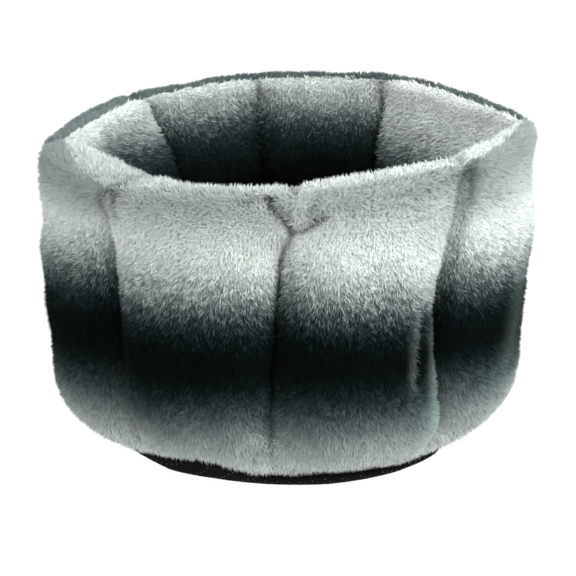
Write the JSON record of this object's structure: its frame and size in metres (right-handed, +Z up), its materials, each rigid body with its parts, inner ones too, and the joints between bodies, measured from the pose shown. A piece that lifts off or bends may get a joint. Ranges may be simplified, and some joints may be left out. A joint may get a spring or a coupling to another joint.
{
  "type": "round cat bed",
  "caption": "Tall round pet bed: a quilted tub of stuffed long-pile channels that roll over the rim, on a dark non-slip base, with a loose round cushion that lifts out.",
  "frame": {"origin": "middle of the flat underside, under the middle of the bed's whole outline", "axes": "+Z up out of the bed's mouth, -Y towards the front seam, +X to the right seen from the front"},
  "size_m": [0.4292, 0.416, 0.2914],
  "materials": {
    "outer_fur": "long soft pile in shaded grey, white and black bands",
    "inner_fur": "long soft pile, white on the rim and black lower down",
    "cushion_fur": "long soft pile in shaded grey bands",
    "lining": "plain woven lining",
    "base_cloth": "black cloth with fine pale non-slip dots",
    "filling": "matt fibre filling",
    "foam": "matt foam"
  },
  "bodies": {
    "tub": {"base_cloth": "base_cloth", "base_pad": "foam", "floor_lining": "lining", "outer_panel_1": "outer_fur", "outer_panel_2": "outer_fur", "outer_panel_3": "outer_fur", "outer_panel_4": "outer_fur", "outer_panel_5": "outer_fur", "outer_panel_6": "outer_fur", "outer_panel_7": "outer_fur", "outer_panel_8": "outer_fur", "inner_panel_1": "inner_fur", "inner_panel_2": "inner_fur", "inner_panel_3": "inner_fur", "inner_panel_4": "inner_fur", "inner_panel_5": "inner_fur", "inner_panel_6": "inner_fur", "inner_panel_7": "inner_fur", "inner_panel_8": "inner_fur", "wall_fill_1": "filling", "wall_fill_2": "filling", "wall_fill_3": "filling", "wall_fill_4": "filling", "wall_fill_5": "filling", "wall_fill_6": "filling", "wall_fill_7": "filling", "wall_fill_8": "filling", "seam_web_1": "lining", "seam_web_2": "lining", "seam_web_3": "lining", "seam_web_4": "lining", "seam_web_5": "lining", "seam_web_6": "lining", "seam_web_7": "lining", "seam_web_8": "lining"},
    "cushion": {"cushion_top": "cushion_fur", "cushion_bottom": "lining", "cushion_fill": "filling"}
  },
  "joints": [
    {"name": "cushion_lift", "type": "slide", "parent": "tub", "child": "cushion", "axis": [0, 0, 1], "range_m": [0, 0.28]}
  ]
}
